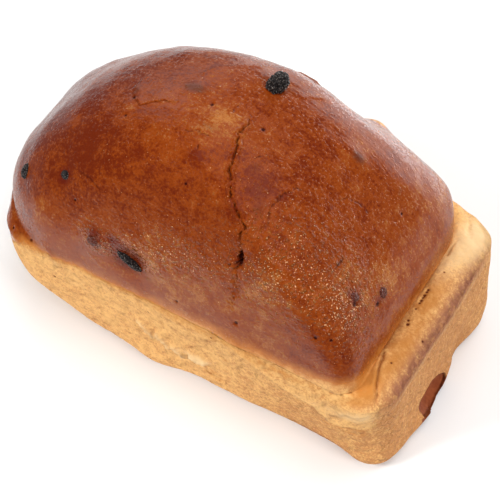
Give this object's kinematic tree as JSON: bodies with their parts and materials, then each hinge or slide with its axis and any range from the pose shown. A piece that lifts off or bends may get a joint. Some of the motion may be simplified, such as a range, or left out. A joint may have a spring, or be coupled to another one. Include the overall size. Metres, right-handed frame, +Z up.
{
  "type": "tin loaf",
  "caption": "Fruited loaf with a pale flat-sided body shaped by its tin, a tall glazed brown dome with a burst running down its front, and raisins set in the crust",
  "frame": {"origin": "on the floor, under the middle of the loaf's bounding box", "axes": "+X along the loaf towards the end whose pale shelf shows, -Y towards the long front side, +Z up"},
  "size_m": [0.1915, 0.1082, 0.1229],
  "materials": {
    "bread": "glazed brown crust over a matte pale side crust",
    "raisin": "wrinkled, slightly glossy"
  },
  "bodies": {
    "root": {"loaf": "bread", "raisin_top": "raisin", "raisin_front": "raisin", "raisin_left": "raisin", "raisin_spot": "raisin", "raisin_glazed": "raisin", "raisin_end": "raisin", "raisin_end_lower": "raisin"}
  },
  "joints": []
}
